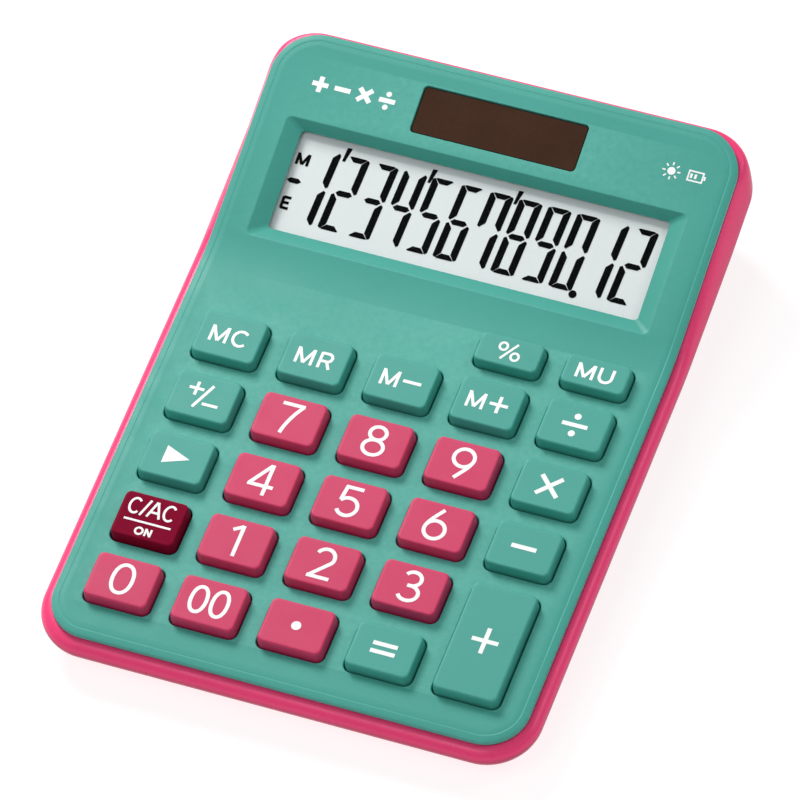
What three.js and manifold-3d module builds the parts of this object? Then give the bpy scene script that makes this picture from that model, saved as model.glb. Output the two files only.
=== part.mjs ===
// Mini desk calculator with a kinked, wedge-shaped case: keypad plane in
// front, display plane tilted up behind it. Millimetres, +X right, +Y away from
// the user, +Z up. Origin: centre of the footprint, on the surface that the
// four rubber feet stand on.
import * as THREE from 'three';
import { mergeVertices } from 'three/addons/utils/BufferGeometryUtils.js';
import Module from 'manifold-3d';

const wasm = await Module();
wasm.setup();

// ---------------------------------------------------------------- dimensions
const LENGTH = 147;            // overall, front rim to back rim
const WIDTH = 106.5;           // overall, across the rim of the bottom case
const KEYPAD_TILT = 3.0;       // keypad plane to the table, degrees
const DISPLAY_TILT = 12.1;     // display plane to the keypad plane, degrees
const KEYPAD_Z = 13.0;         // keypad plane above the table at the "4 5 6" row
const FOLD = 51.16;            // from the "4 5 6" row back to the fold
const COVER_HALF = 50.8;       // half width of the top cover
const COVER_FRONT = -42.75;    // front edge of the top cover, from the "4 5 6" row
const COVER_BACK = 51.05;      // back edge of the top cover, from the fold
const COVER_R_FRONT = 8.9;     // corner radii of the top cover
const COVER_R_BACK = 9.9;
const COVER_EDGE = 1.35;       // depth of the cover's rolled edge
const COVER_T = 1.8;           // wall of the top cover
const RIM_FRONT = -45.34;      // front of the rim, from the "4 5 6" row
const RIM_DEPTH = 4.05;        // widest line of the rim below the keypad plane
const RIM_R_FRONT = 11.2;      // corner radii of the rim
const RIM_R_BACK = 10.3;
const GAP = 0.3;               // clearance between neighbouring pieces
const FOOT_H = 1.0;            // underside of the case above the table

const COL = 18.67;             // key pitch across
const ROW = 15.05;             // key pitch front to back
const KEYS_Y = 0.55;            // key block's shift towards the display
const ROW0 = 43.38;            // centre of the short back row of keys
const KEY_W = 14.0;            // key cap across
const KEY_L = 10.8;            // key cap front to back
const KEY_L0 = 7.4;            // short key cap front to back
const KEY_H = 2.4;             // key top above the cover
const KEY_R = 1.5;             // key corner radius
const KEY_TRAVEL = 1.2;        // full travel, stated in the record's joints

const LCD_HALF = 40.3;         // display opening, half width
const LCD_V0 = 7.79;           // display opening, front and back edge from the fold
const LCD_V1 = 30.15;
const BEZEL_HALF = 43.75;      // sloped frame round the display, outer edge
const BEZEL_V0 = 4.85;
const BEZEL_V1 = 32.0;
const BEZEL_DEPTH = 1.75;
const SOLAR_HALF = 18.0;       // solar opening
const SOLAR_V0 = 34.85;
const SOLAR_V1 = 45.45;

const FLOOR_T = 1.5;           // wall of the bottom case
const PCB_Z = -6.0;            // upper side of the circuit board, in the keypad frame
const PCB_T = 1.2;

const rad = THREE.MathUtils.degToRad;
const sa = Math.sin(rad(KEYPAD_TILT)), ca = Math.cos(rad(KEYPAD_TILT));
const Y0 = -LENGTH / 2 - (RIM_FRONT * ca + RIM_DEPTH * sa);

// keypad frame: origin on the keypad plane at the middle of the "4 5 6" row
const KEYPAD = new THREE.Matrix4().makeTranslation(0, Y0, KEYPAD_Z)
  .multiply(new THREE.Matrix4().makeRotationX(rad(KEYPAD_TILT)));
// display frame: origin on the fold, y up the display plane
const DISPLAY = KEYPAD.clone()
  .multiply(new THREE.Matrix4().makeTranslation(0, FOLD, 0))
  .multiply(new THREE.Matrix4().makeRotationX(rad(DISPLAY_TILT)));
// frame of the plane that halves the fold
const FOLD_PLANE = KEYPAD.clone()
  .multiply(new THREE.Matrix4().makeTranslation(0, FOLD, 0))
  .multiply(new THREE.Matrix4().makeRotationX(rad(DISPLAY_TILT / 2)));

// ------------------------------------------------------------------- helpers
function toSolid(geometry) {
  const g = geometry.index ? geometry.toNonIndexed() : geometry.clone();
  g.deleteAttribute('normal');
  g.deleteAttribute('uv');
  const m = mergeVertices(g, 1e-4);
  return new wasm.Manifold(new wasm.Mesh({
    numProp: 3,
    vertProperties: new Float32Array(m.attributes.position.array),
    triVerts: new Uint32Array(m.index.array),
  }));
}

function toGeometry(solid) {
  const mesh = solid.getMesh();
  const p = new Float32Array(mesh.numVert * 3);
  for (let i = 0; i < mesh.numVert; i++) {
    for (let k = 0; k < 3; k++) p[3 * i + k] = mesh.vertProperties[i * mesh.numProp + k];
  }
  const g = new THREE.BufferGeometry();
  g.setAttribute('position', new THREE.BufferAttribute(p, 3));
  g.setIndex(Array.from(mesh.triVerts));
  const flat = g.toNonIndexed();
  flat.computeVertexNormals();
  return flat;
}

const place = (geometry, frame) => geometry.clone().applyMatrix4(frame);

// box given by its low and high corner
function box(x0, y0, z0, x1, y1, z1) {
  return new THREE.BoxGeometry(x1 - x0, y1 - y0, z1 - z0)
    .translate((x0 + x1) / 2, (y0 + y1) / 2, (z0 + z1) / 2);
}

// six-sided solid with a different rectangle at its low and at its high face
function hopper(low, high, z0, z1) {
  const g = new THREE.BoxGeometry(1, 1, 1);
  const p = g.attributes.position;
  for (let i = 0; i < p.count; i++) {
    const r = p.getZ(i) < 0 ? low : high;
    p.setXYZ(i, p.getX(i) < 0 ? r[0] : r[2], p.getY(i) < 0 ? r[1] : r[3], p.getZ(i) < 0 ? z0 : z1);
  }
  return g;
}

// upright cylinder from z0 to z1
function disc(x, y, z0, z1, r, sides = 20, rTop = r) {
  return new THREE.CylinderGeometry(rTop, r, z1 - z0, sides)
    .rotateX(Math.PI / 2).translate(x, y, (z0 + z1) / 2);
}

// closed outline with rounded corners, anticlockwise, the same number of points
// for every inset; extra adds points on the two long sides
function outline(hx, y0, y1, rf, rb, seg, extra = []) {
  const pts = [];
  const arc = (cx, cy, r, a0) => {
    for (let i = 0; i <= seg; i++) {
      const a = a0 + (Math.PI / 2) * (i / seg);
      pts.push(new THREE.Vector2(cx + r * Math.cos(a), cy + r * Math.sin(a)));
    }
  };
  arc(hx - rf, y0 + rf, rf, -Math.PI / 2);
  for (const y of extra) pts.push(new THREE.Vector2(hx, y));
  arc(hx - rb, y1 - rb, rb, 0);
  arc(-hx + rb, y1 - rb, rb, Math.PI / 2);
  for (const y of [...extra].reverse()) pts.push(new THREE.Vector2(-hx, y));
  arc(-hx + rf, y0 + rf, rf, Math.PI);
  return pts;
}

function slab(points, z0, z1) {
  return new THREE.ExtrudeGeometry(new THREE.Shape(points), { depth: z1 - z0, bevelEnabled: false })
    .translate(0, 0, z0);
}

// prism along X with the given outline in Y and Z, anticlockwise from +X
function prismX(yz, x0, x1) {
  const shape = new THREE.Shape(yz.map(([y, z]) => new THREE.Vector2(y, z)));
  return new THREE.ExtrudeGeometry(shape, { depth: x1 - x0, bevelEnabled: false })
    .applyMatrix4(new THREE.Matrix4().set(0, 0, 1, x0, 1, 0, 0, 0, 0, 1, 0, 0, 0, 0, 0, 1));
}

// skin through a stack of outlines: an extrusion whose levels are moved onto them
function stack(levels) {
  const base = levels[0].map((v) => new THREE.Vector2(v.x, v.y));
  const g = new THREE.ExtrudeGeometry(new THREE.Shape(base),
    { depth: levels.length - 1, steps: levels.length - 1, bevelEnabled: false });
  const index = new Map(base.map((v, i) => [`${v.x.toFixed(3)},${v.y.toFixed(3)}`, i]));
  const p = g.attributes.position;
  for (let i = 0; i < p.count; i++) {
    const k = index.get(`${p.getX(i).toFixed(3)},${p.getY(i).toFixed(3)}`);
    const v = levels[Math.round(p.getZ(i))][k];
    p.setXYZ(i, v.x, v.y, v.z);
  }
  return g;
}

// the two halves of a bent slab, joined at the plane that halves the fold
const frontHalf = toSolid(place(box(-80, -120, -60, 80, 0.02, 60), FOLD_PLANE));
const backHalf = toSolid(place(box(-80, 0, -60, 80, 120, 60), FOLD_PLANE));
function bent(inset, z0, z1, bevel = 0) {
  const h = COVER_HALF - inset;
  const front = outline(h, COVER_FRONT + inset, FOLD + 30, Math.max(COVER_R_FRONT - inset, 2), 0.5, 6);
  const back = outline(h, -30, COVER_BACK - inset, 0.5, Math.max(COVER_R_BACK - inset, 2), 6);
  const make = (pts) => {
    if (!bevel) return slab(pts, z0, z1);
    // rolled edge: full outline below, drawn in towards the top
    const shrink = (d, z) => {
      const c = new THREE.Vector2(0, 0);
      pts.forEach((v) => c.add(v));
      c.divideScalar(pts.length);
      return pts.map((v, i) => {
        const a = pts[(i + pts.length - 1) % pts.length], b = pts[(i + 1) % pts.length];
        const n = new THREE.Vector2(b.y - a.y, a.x - b.x).normalize();
        return new THREE.Vector3(v.x - n.x * d, v.y - n.y * d, z);
      });
    };
    return stack([shrink(0, z0), shrink(0, z1 - bevel * 0.6), shrink(bevel * 0.2, z1 - bevel * 0.3), shrink(bevel, z1)]);
  };
  return toSolid(place(make(front), KEYPAD)).intersect(frontHalf)
    .add(toSolid(place(make(back), DISPLAY)).intersect(backHalf));
}

const group = new THREE.Group();
function add(name, solidOrGeometry, material) {
  const geometry = solidOrGeometry.isBufferGeometry ? solidOrGeometry : toGeometry(solidOrGeometry);
  const mesh = new THREE.Mesh(geometry, material);
  mesh.name = name;
  group.add(mesh);
  return mesh;
}

// ----------------------------------------------------------------- materials
const plastic = (color, roughness = 0.45) => new THREE.MeshStandardMaterial({ color, roughness, metalness: 0 });
const metal = (color, roughness = 0.35) => new THREE.MeshStandardMaterial({ color, roughness, metalness: 1 });
const TEAL = plastic(0x55aa9c), PINK = plastic(0xe24a7e), CRIMSON = plastic(0x8c2445);
const RUBBER = plastic(0x2a2a2c, 0.9), SILICONE = plastic(0xc9ccce, 0.8);
const BOARD = plastic(0x2f6b3c, 0.6), GLOB = plastic(0x17181a, 0.5);
const CLEAR = new THREE.MeshStandardMaterial({ color: 0xf4f6f6, roughness: 0.05, metalness: 0, transparent: true, opacity: 0.25 });
const PANEL = plastic(0xd9e1e3, 0.3), SOLAR = plastic(0x46302a, 0.3);
const SMOKE = new THREE.MeshStandardMaterial({ color: 0x3a2620, roughness: 0.08, metalness: 0, transparent: true, opacity: 0.5 });
const STEEL = metal(0xb9bcc0), NICKEL = metal(0xd0cfca), RIBBON = plastic(0xc08a3a, 0.5);
const RED = plastic(0xb02020), BLACK = plastic(0x1c1c1e);

// ---------------------------------------------------------------------- keys
// [name, column, centre y, half length, colour]; column 0 is the left one
const rowY = (r) => (3 - r) * ROW + KEYS_Y;
const KEYS = [
  ['key_percent', 3, ROW0, KEY_L0 / 2, TEAL], ['key_markup', 4, ROW0, KEY_L0 / 2, TEAL],
  ['key_memory_clear', 0, rowY(1), KEY_L / 2, TEAL], ['key_memory_recall', 1, rowY(1), KEY_L / 2, TEAL],
  ['key_memory_minus', 2, rowY(1), KEY_L / 2, TEAL], ['key_memory_plus', 3, rowY(1), KEY_L / 2, TEAL],
  ['key_divide', 4, rowY(1), KEY_L / 2, TEAL],
  ['key_sign', 0, rowY(2), KEY_L / 2, TEAL], ['key_7', 1, rowY(2), KEY_L / 2, PINK],
  ['key_8', 2, rowY(2), KEY_L / 2, PINK], ['key_9', 3, rowY(2), KEY_L / 2, PINK],
  ['key_multiply', 4, rowY(2), KEY_L / 2, TEAL],
  ['key_backspace', 0, rowY(3), KEY_L / 2, TEAL], ['key_4', 1, rowY(3), KEY_L / 2, PINK],
  ['key_5', 2, rowY(3), KEY_L / 2, PINK], ['key_6', 3, rowY(3), KEY_L / 2, PINK],
  ['key_minus', 4, rowY(3), KEY_L / 2, TEAL],
  ['key_clear_on', 0, rowY(4), KEY_L / 2, CRIMSON], ['key_1', 1, rowY(4), KEY_L / 2, PINK],
  ['key_2', 2, rowY(4), KEY_L / 2, PINK], ['key_3', 3, rowY(4), KEY_L / 2, PINK],
  ['key_0', 0, rowY(5), KEY_L / 2, PINK], ['key_00', 1, rowY(5), KEY_L / 2, PINK],
  ['key_point', 2, rowY(5), KEY_L / 2, PINK], ['key_equals', 3, rowY(5), KEY_L / 2, TEAL],
  ['key_plus', 4, rowY(4.5), (KEY_L + ROW) / 2, TEAL],
];
const colX = (c) => (c - 2) * COL;

const FLANGE = 0.7;            // retaining flange beyond the cap, all round
const FLANGE_TOP = -(COVER_T + GAP), FLANGE_T = 0.8;
for (const [name, c, y, hl, mat] of KEYS) {
  const x = colX(c), hw = KEY_W / 2;
  const o = (d) => outline(hw - d, y - hl + d, y + hl - d, Math.max(KEY_R - d * 0.5, 0.4), Math.max(KEY_R - d * 0.5, 0.4), 2);
  const cap = stack([[0, -2.4], [0, 0.2], [0.25, KEY_H - 0.55], [0.75, KEY_H]]
    .map(([d, z]) => o(d).map((v) => new THREE.Vector3(v.x + x, v.y, z))));
  const flange = box(x - hw - FLANGE, y - hl - FLANGE, FLANGE_TOP - FLANGE_T, x + hw + FLANGE, y + hl + FLANGE, FLANGE_TOP);
  const hollow = box(x - hw + 1.4, y - hl + 1.4, -5, x + hw - 1.4, y + hl - 1.4, 0.9);
  const solid = toSolid(cap).add(toSolid(flange)).subtract(toSolid(hollow));
  add(name, place(toGeometry(solid), KEYPAD), mat);
}

// ------------------------------------------------ fastening points, plan view
// [x, y] in the table frame; posts hang from the cover, bosses stand on the floor
const kY = (y) => y * ca + Y0;                     // keypad frame y at mid depth
const POSTS = [[-1.5 * COL, kY(rowY(4.5))], [27.7, kY(rowY(4.5))],
  [-1.5 * COL, kY(37.3 + KEYS_Y)], [1.5 * COL, kY(37.3 + KEYS_Y)], [-38, 60.5], [38, 60.5]];
const SEAT_Z = 4.0, BOSS_TOP = 5.7, BOSS_R = 2.8, POST_R = 1.75;

// ----------------------------------------------------------------- top cover
{
  let s = bent(0, -COVER_EDGE, 0, 1.35)
    .add(bent(2.4, -4.2, -1.0).subtract(bent(3.8, -5.0, -COVER_T)));
  // thicker frame behind the display and the solar opening
  s = s.add(toSolid(place(box(-46, 3.2, -4.0, 46, 34, -1.2), DISPLAY)))
    .add(toSolid(place(box(-21, 34 - 0.5, -3.6, 21, 46.9, -1.2), DISPLAY)));
  for (const [x, y] of POSTS) {
    const high = y > 20 ? 24 : 11 + (y - kY(-1.5 * ROW)) * 0.05;
    s = s.add(toSolid(disc(x, y, BOSS_TOP + GAP, high, POST_R, 12)));
  }
  for (const [, c, y, hl] of KEYS) {
    const x = colX(c), hw = KEY_W / 2 + GAP;
    const pts = outline(hw, y - hl - GAP, y + hl + GAP, KEY_R + GAP, KEY_R + GAP, 2);
    s = s.subtract(toSolid(place(slab(pts, -2.5, 1).translate(x, 0, 0), KEYPAD)));
  }
  const slope = 3.45 / BEZEL_DEPTH, up = 1;
  const widen = (k) => [-BEZEL_HALF - k * slope, BEZEL_V0 - k * (LCD_V0 - BEZEL_V0) / BEZEL_DEPTH,
    BEZEL_HALF + k * slope, BEZEL_V1 + k * (BEZEL_V1 - LCD_V1) / BEZEL_DEPTH];
  s = s.subtract(toSolid(place(hopper([-LCD_HALF, LCD_V0, LCD_HALF, LCD_V1], widen(up), -BEZEL_DEPTH, up), DISPLAY)));
  const lcd = outline(LCD_HALF, LCD_V0, LCD_V1, 0.8, 0.8, 3);
  s = s.subtract(toSolid(place(slab(lcd, -3, -1.5), DISPLAY)));
  s = s.subtract(toSolid(place(box(-42.6, 5.6, -5, 42.6, 32.3, -2.2), DISPLAY)));
  const sol = outline(SOLAR_HALF, SOLAR_V0, SOLAR_V1, 0.8, 0.8, 3);
  s = s.subtract(toSolid(place(slab(sol, -5, 1), DISPLAY)));
  s = s.subtract(toSolid(place(box(-19.6, 34.2, -5, 19.6, 46.2, -1.3), DISPLAY)));
  for (const [x, y] of POSTS) s = s.subtract(toSolid(disc(x, y, 2, 13 > y ? 9.6 : 13, 1.05, 10)));
  add('top_cover', s, TEAL);
}

// --------------------------------------------------------------- bottom case
// height of the seam over the table, from a position front to back
const foldY = FOLD * ca + Y0;
const sd = Math.sin(rad(KEYPAD_TILT + DISPLAY_TILT)), cd = Math.cos(rad(KEYPAD_TILT + DISPLAY_TILT));
const planeZ = (y, depth) => {                     // surface at the given depth under the cover's face
  const zk = KEYPAD_Z + (y - Y0) * Math.tan(rad(KEYPAD_TILT)) - depth / ca;
  const zf = KEYPAD_Z + FOLD * sa;
  const zd = zf + (y - foldY) * (sd / cd) - depth / cd;
  return Math.max(zk, zd);
};
const SEAM = COVER_EDGE + GAP;
function tub(inset, floorZ, top) {
  const foldPts = [foldY - 3, foldY + 3, foldY + 30];
  // k lets the back edge stand out further, e draws the long sides in beside the display
  const level = (d, zOf, k = 0, e = 0) => {
    const h = WIDTH / 2 - d;
    const f = Math.max(RIM_R_FRONT - d, 1.2), b = Math.max(RIM_R_BACK - d, 1.2);
    return outline(h, -LENGTH / 2 + d, LENGTH / 2 - d + k, f, b, 5, foldPts).map((v) => new THREE.Vector3(
      v.x * (1 - e / h * THREE.MathUtils.smoothstep(v.y, foldY - 5, foldY + 35)), v.y, zOf(v.y)));
  };
  // widest line: 2.4 mm under the seam in front, 5.8 mm at the back
  const wide = (y) => planeZ(y, SEAM + 2.4 + 3.4 * THREE.MathUtils.smoothstep(y, foldY - 8, foldY + 37));
  const low = (t) => (y) => floorZ + (wide(y) - floorZ) * t;
  const high = (t) => (y) => wide(y) + (planeZ(y, SEAM) - wide(y)) * t;
  return stack([
    level(inset + 6.5, low(0)), level(inset + 5.2, low(0.2)), level(inset + 3.8, low(0.4)),
    level(inset + 1.3, (y) => wide(y) - 2.4), level(inset + 0.35, (y) => wide(y) - 1.2), level(inset, high(0)),
    level(inset + 0.35, high(0.45), 0.35, 0.65), level(inset + 1.2, high(0.82), 1.15, 0.55),
    level(inset + 2.35, high(1), 2.0), level(inset + 2.35, () => top, 2.0),
  ]);
}
const BATTERY = { x: -14, y: 46, hx: 14, hy: 10 };   // battery door, plan
{
  let s = toSolid(tub(0, FOOT_H, 45)).subtract(toSolid(tub(2.0, FOOT_H + FLOOR_T, 46)));
  // everything above the seam is cut away, down to the bent seam surface
  const yz = [[-90, planeZ(-90, SEAM)], [foldY, 0], [90, planeZ(90, SEAM)], [90, 60], [-90, 60]];
  // crease where both seam planes meet
  const yc = (() => { let lo = foldY - 5, hi = foldY + 5; for (let i = 0; i < 60; i++) { const m = (lo + hi) / 2;
    const zk = KEYPAD_Z + (m - Y0) * Math.tan(rad(KEYPAD_TILT)) - SEAM / ca;
    if (planeZ(m, SEAM) > zk + 1e-9) hi = m; else lo = m; } return (lo + hi) / 2; })();
  yz[1] = [yc, planeZ(yc, SEAM)];
  s = s.subtract(toSolid(prismX(yz, -80, 80)));
  for (const [x, y] of POSTS) s = s.add(toSolid(disc(x, y, FOOT_H + 0.5, BOSS_TOP, BOSS_R, 16)));
  // battery well, open downwards
  const { x, y, hx, hy } = BATTERY;
  s = s.add(toSolid(box(x - hx - 1.5, y - hy - 1.5, FOOT_H + 0.6, x + hx + 1.5, y + hy + 1.5, 11)));
  s = s.subtract(toSolid(box(x - hx + 1.2, y - hy + 1.2, 0, x + hx - 1.2, y + hy - 1.2, 9.8)));
  s = s.subtract(toSolid(box(x - hx, y - hy, 0, x + hx, y + hy, FOOT_H + 1.5)));
  // screw boss of the battery door, on the well's right wall
  s = s.add(toSolid(box(x + hx - 5.5, y - 3, FOOT_H + 1.5, x + hx + 0.5, y + 3, 10.2)));
  s = s.subtract(toSolid(disc(x + hx - 3.2, y, 1, 8.3, 1.1, 10)));
  // slots for the battery contacts
  s = s.subtract(toSolid(box(x - 9, y + hy - 3, 8.1, x - 3, y + hy + 2, 9.4)));
  s = s.subtract(toSolid(box(x - hx - 2, y - 3.3, 6.5, x - hx + 3, y + 3.3, 9.4)));
  for (const [px, py] of POSTS) {
    s = s.subtract(toSolid(disc(px, py, 0, SEAT_Z, 2.4, 16)));
    s = s.subtract(toSolid(disc(px, py, 0, 7, 1.3, 10)));
  }
  for (const [fx, fy] of [[-40, -60], [40, -60], [-40, 51], [40, 51]]) {
    s = s.subtract(toSolid(disc(fx, fy, 0, FOOT_H + 0.8, 5.3, 24)));
  }
  add('bottom_case', s, PINK);
}

// rubber feet, one in each pocket
for (const [name, fx, fy] of [['foot_front_left', -40, -60], ['foot_front_right', 40, -60],
  ['foot_back_left', -40, 51], ['foot_back_right', 40, 51]]) {
  add(name, disc(fx, fy, 0, FOOT_H + 0.5, 4.8, 24, 5.0), RUBBER);
}

// case screws: pan head in the counterbore, shank up into the cover's post
POSTS.forEach(([x, y], i) => {
  const head = disc(x, y, 2.2, SEAT_Z - GAP, 2.0, 16);
  const shank = disc(x, y, SEAT_Z - GAP - 0.3, 9.0, 0.75, 8);
  const slot = box(x - 1.4, y - 0.3, 2, x + 1.4, y + 0.3, 2.8);
  const slot2 = box(x - 0.3, y - 1.4, 2, x + 0.3, y + 1.4, 2.8);
  add(`case_screw_${i + 1}`, toSolid(head).add(toSolid(shank)).subtract(toSolid(slot)).subtract(toSolid(slot2)), STEEL);
});

// ------------------------------------------------------------------- battery
{
  const { x, y, hx, hy } = BATTERY;
  let door = toSolid(box(x - hx + GAP, y - hy + GAP, FOOT_H, x + hx - GAP, y + hy - GAP, FOOT_H + 1.2));
  door = door.subtract(toSolid(disc(x + hx - 3.2, y, 0, 5, 1.3, 10)))
    .subtract(toSolid(disc(x + hx - 3.2, y, 0, FOOT_H + 0.6, 2.3, 16)));
  add('battery_cover', door, PINK);
  const screw = toSolid(disc(x + hx - 3.2, y, FOOT_H + 0.02, FOOT_H + 0.35, 1.9, 16))
    .add(toSolid(disc(x + hx - 3.2, y, FOOT_H + 0.2, 7, 0.8, 8)))
    .subtract(toSolid(box(x + hx - 4.5, y - 0.25, 0, x + hx - 1.9, y + 0.25, FOOT_H + 0.2)));
  add('battery_cover_screw', screw, STEEL);
  add('battery_cell', disc(x - 2.8, y, 2.6, 8.0, 5.8, 28), NICKEL);
  // flat contact over the cell, its tail out through the back slot
  const neg = toSolid(box(x - 7.5, y - 4, 8.5, x - 1, y + 4, 8.9))
    .add(toSolid(box(x - 8.2, y + 3, 8.5, x - 3.8, y + hy + 3, 8.9)));
  add('battery_contact_negative', neg, NICKEL);
  // side contact, its tail out through the left slot
  const pos = toSolid(box(x - 9.3, y - 2.6, 3.2, x - 8.9, y + 2.6, 7.6))
    .add(toSolid(box(x - hx - 3, y - 2.6, 7.2, x - 8.9, y + 2.6, 7.6)));
  add('battery_contact_positive', pos, NICKEL);
}

// ------------------------------------------------- display and solar cell
add('lcd_window', place(box(-42.3, 5.9, -3.05, 42.3, 32.0, -2.25), DISPLAY), CLEAR);
add('lcd_panel', place(box(-41.6, 5.9, -4.75, 41.6, 32.0, -3.15), DISPLAY), PANEL);
add('solar_window', place(slab(outline(SOLAR_HALF - GAP, SOLAR_V0 + GAP, SOLAR_V1 - GAP, 0.7, 0.7, 3), -1.35, -0.35), DISPLAY), SMOKE);
add('solar_cell', place(box(-19, 34.8, -3.0, 19, 45.6, -1.9), DISPLAY), SOLAR);

// ------------------------------------------- key mat, circuit board, ribbon
const MAT_TOP = -4.9, MAT_T = 0.8;
{
  let s = toSolid(place(box(-45.4, -37.4, MAT_TOP - MAT_T, 45.4, 48.0, MAT_TOP), KEYPAD));
  for (const [, c, y] of KEYS) {
    s = s.add(toSolid(place(disc(colX(c), y, MAT_TOP - 0.2, MAT_TOP + 0.5, 3.4, 10, 2.4), KEYPAD)));
  }
  for (const [x, y] of POSTS.slice(0, 4)) s = s.subtract(toSolid(disc(x, y, 3, 14, 2.3, 12)));
  add('key_mat', s, SILICONE);
  let b = toSolid(place(box(-45, -37.4, PCB_Z - PCB_T, 45, 47, PCB_Z), KEYPAD));
  for (const [x, y] of POSTS.slice(0, 4)) b = b.subtract(toSolid(disc(x, y, 0, 14, 3.2, 12)));
  add('circuit_board', b, BOARD);
  // dome of resin over the bonded chip, under the board
  const dome = new THREE.LatheGeometry([[0, -1.6], [3.2, -1.4], [5.4, -0.8], [6.4, 0], [0, 0]]
    .map(([r, z]) => new THREE.Vector2(r, z)), 16).rotateX(Math.PI / 2);
  add('chip_resin', place(dome.translate(6, 14, PCB_Z - PCB_T - GAP), KEYPAD), GLOB);
  // flat ribbon from the board's back edge up to the display panel
  const toK = (v, w) => { const p = new THREE.Vector3(0, v, w).applyMatrix4(DISPLAY).applyMatrix4(KEYPAD.clone().invert()); return [p.y, p.z]; };
  const t = 0.15, zb = PCB_Z - PCB_T - GAP - t;
  const a = toK(11.5, -4.75 - GAP - t), c = toK(6.2, -4.75 - GAP - t);
  const line = [[41, zb], [48.5, zb], c, a];
  const up = line.map(([y, z]) => [y, z + t]), dn = line.map(([y, z]) => [y, z - t]);
  add('display_ribbon', place(prismX([...dn, ...up.reverse()], -26, 26), KEYPAD), RIBBON);
}

// --------------------------------------------------------------------- wires
function wire(name, pts, material) {
  const curve = new THREE.CatmullRomCurve3(pts.map((p) => new THREE.Vector3(...p)));
  const sides = [];
  for (let i = 0; i < 8; i++) sides.push(new THREE.Vector2(0.5 * Math.cos(i * Math.PI / 4), 0.5 * Math.sin(i * Math.PI / 4)));
  add(name, new THREE.ExtrudeGeometry(new THREE.Shape(sides), { steps: 14, bevelEnabled: false, extrudePath: curve }), material);
}
const dp = (x, v, w) => new THREE.Vector3(x, v, w).applyMatrix4(DISPLAY).toArray();
const kp = (x, y, w) => new THREE.Vector3(x, y, w).applyMatrix4(KEYPAD).toArray();
wire('solar_wire_positive', [dp(-12, 38, -3.9), dp(-14, 33, -6.9), dp(-23, 22, -7.6), dp(-33, 10, -8.4), kp(-35, 46, -9.2), kp(-34, 40, -8.1)], RED);
wire('solar_wire_negative', [dp(12, 38, -3.9), dp(14, 33, -6.9), dp(20, 22, -7.6), dp(28, 10, -8.4), kp(35, 46, -9.2), kp(36, 40, -8.1)], BLACK);
const bx = BATTERY.x, by = BATTERY.y;
wire('battery_wire_positive', [[bx - 17.6, by, 7.4], [-34, 44, 7.2], [-36.5, 36, 6.9], [-37, 26, 6.6], [-36, 16, 6.6], [-35, 8, 6.9]], RED);
wire('battery_wire_negative', [[bx - 6, by + 13.6, 8.7], [bx - 3, 61.5, 8.9], [10, 62.5, 9.2], [24, 56, 8.8], [30, 44, 8.0], [30.5, 30, 7.0], [29, 20, 6.6], [27, 12, 6.8]], BLACK);

export default group;
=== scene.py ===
import bpy, bmesh, math
from mathutils import Vector, Matrix


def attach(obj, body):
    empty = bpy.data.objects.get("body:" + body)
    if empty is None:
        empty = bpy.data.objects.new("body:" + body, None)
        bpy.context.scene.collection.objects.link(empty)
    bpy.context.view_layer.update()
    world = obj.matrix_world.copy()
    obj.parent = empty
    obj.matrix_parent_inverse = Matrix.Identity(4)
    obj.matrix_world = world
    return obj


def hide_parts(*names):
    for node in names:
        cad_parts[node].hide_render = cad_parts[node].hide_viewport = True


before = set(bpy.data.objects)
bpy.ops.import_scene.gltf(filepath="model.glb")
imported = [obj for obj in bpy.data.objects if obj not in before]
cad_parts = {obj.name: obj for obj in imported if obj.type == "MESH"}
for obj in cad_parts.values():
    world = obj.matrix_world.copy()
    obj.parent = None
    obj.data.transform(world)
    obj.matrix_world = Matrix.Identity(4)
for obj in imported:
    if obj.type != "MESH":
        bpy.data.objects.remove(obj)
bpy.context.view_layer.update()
MM = 0.001
scene = bpy.context.scene

# ------------------------------------------------------------ the CAD's sizes
LENGTH, WIDTH = 147.0, 106.5
ALPHA, DELTA = math.radians(3.0), math.radians(12.1)
KEYPAD_Z, FOLD, FOLD_A = 13.0, 51.16, 4.6
COVER_HALF, COVER_FRONT, COVER_BACK = 50.8, -42.75, FOLD + 51.05
RIM_FRONT, RIM_DEPTH = -45.34, 4.05
COL, ROW, ROW0, KEYS_Y = 18.67, 15.05, 43.38, 0.55
KEY_W, KEY_L, KEY_L0, KEY_H, KEY_R = 14.0, 10.8, 7.4, 2.4, 1.5
LCD_HALF, LCD_V0, LCD_V1 = 40.3, FOLD + 7.79, FOLD + 30.15
BEZ_HALF, BEZ_V0, BEZ_V1, BEZ_D = 43.75, FOLD + 4.85, FOLD + 32.0, 1.75
SOL_HALF, SOL_V0, SOL_V1 = 18.0, FOLD + 34.85, FOLD + 45.45
sa, ca = math.sin(ALPHA), math.cos(ALPHA)
Y0 = -LENGTH / 2 - (RIM_FRONT * ca + RIM_DEPTH * sa)
FOLD_R = FOLD_A / math.tan(DELTA / 2)


def kpad(x, y, z):
    """Keypad frame, millimetres, to the row frame in metres."""
    return Vector((x, y * ca - z * sa + Y0, y * sa + z * ca + KEYPAD_Z)) * MM


def bend(x, s, w):
    """Flat pattern of the cover (across, along, above the face) to the row frame."""
    if s <= FOLD - FOLD_A:
        return kpad(x, s, w)
    if s >= FOLD + FOLD_A:
        v = s - FOLD
        return kpad(x, FOLD + v * math.cos(DELTA) - w * math.sin(DELTA), v * math.sin(DELTA) + w * math.cos(DELTA))
    th = DELTA * (s - FOLD + FOLD_A) / (2 * FOLD_A)
    return kpad(x, FOLD - FOLD_A + FOLD_R * math.sin(th) - w * math.sin(th),
                FOLD_R * (1 - math.cos(th)) + w * math.cos(th))


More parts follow.
